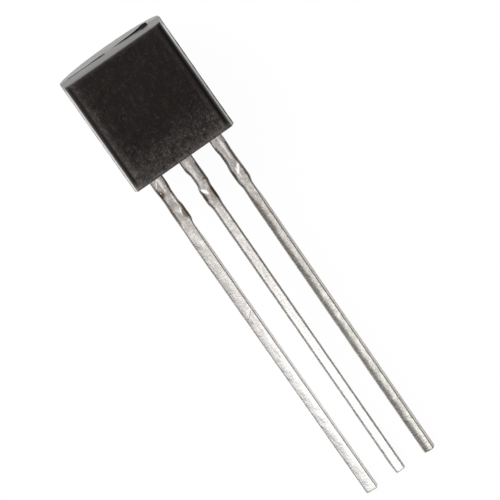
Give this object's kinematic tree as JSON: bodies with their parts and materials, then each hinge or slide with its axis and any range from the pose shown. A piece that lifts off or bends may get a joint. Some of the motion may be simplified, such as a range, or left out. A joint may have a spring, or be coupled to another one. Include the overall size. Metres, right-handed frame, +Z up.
{
  "type": "to-92 transistor",
  "caption": "Small plastic transistor with a flat front, a round back and straight tinned leads in a row; chip, lead frame and bond wires are sealed in the moulded body.",
  "frame": {"origin": "middle of the part's box, on the table that it lies on", "axes": "+Y from the lead ends to the top of the body, +Z up from the table on the side of the flat, +X across the leads from the first lead to the last, seen with the flat up and the leads towards the viewer"},
  "size_m": [0.0044, 0.0188, 0.0041],
  "materials": {
    "moulding": "black moulding compound, finely eroded, with smooth edges",
    "tinned_lead": "hot-dipped tin, dull near the body and brighter to the ends",
    "silicon": "polished",
    "solder": "dull",
    "gold_wire": "bright"
  },
  "bodies": {
    "root": {"case": "moulding", "emitter_lead": "tinned_lead", "base_lead": "tinned_lead", "collector_lead": "tinned_lead", "die": "silicon", "die_attach": "solder", "emitter_bond_wire": "gold_wire", "base_bond_wire": "gold_wire"}
  },
  "joints": []
}
